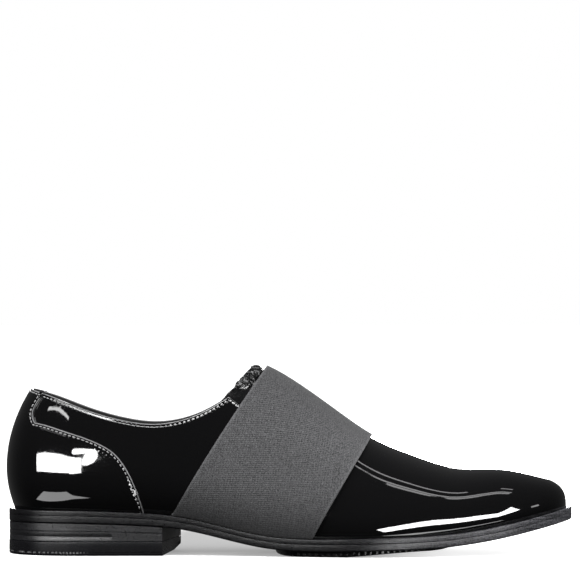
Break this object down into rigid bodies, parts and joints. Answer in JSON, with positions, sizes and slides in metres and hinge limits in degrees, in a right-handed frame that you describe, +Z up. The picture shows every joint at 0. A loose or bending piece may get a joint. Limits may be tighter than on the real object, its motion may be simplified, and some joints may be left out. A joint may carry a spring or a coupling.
{
  "type": "patent leather loafer",
  "caption": "Low slip-on dress shoe for the right foot: glossy upper, wide elastic band over the instep, welted sole and stacked heel.",
  "frame": {"origin": "on the floor, under the middle of the shoe's box", "axes": "+X from the heel to the toe, +Z up, -Y towards the outer side of the foot"},
  "size_m": [0.3054, 0.1042, 0.1012],
  "materials": {
    "patent_leather": "mirror gloss, black",
    "elastic_webbing": "woven, matte grey",
    "lining_leather": "smooth, half matte, black",
    "sole_edge": "inked and burnished edge",
    "black_rubber": "half matte"
  },
  "bodies": {
    "root": {"upper": "patent_leather", "heel_counter": "patent_leather", "tongue": "patent_leather", "elastic_band": "elastic_webbing", "insole": "lining_leather", "welt": "sole_edge", "outsole": "sole_edge", "heel_block": "sole_edge", "top_lift": "black_rubber", "forefoot_tread": "black_rubber"}
  },
  "joints": []
}
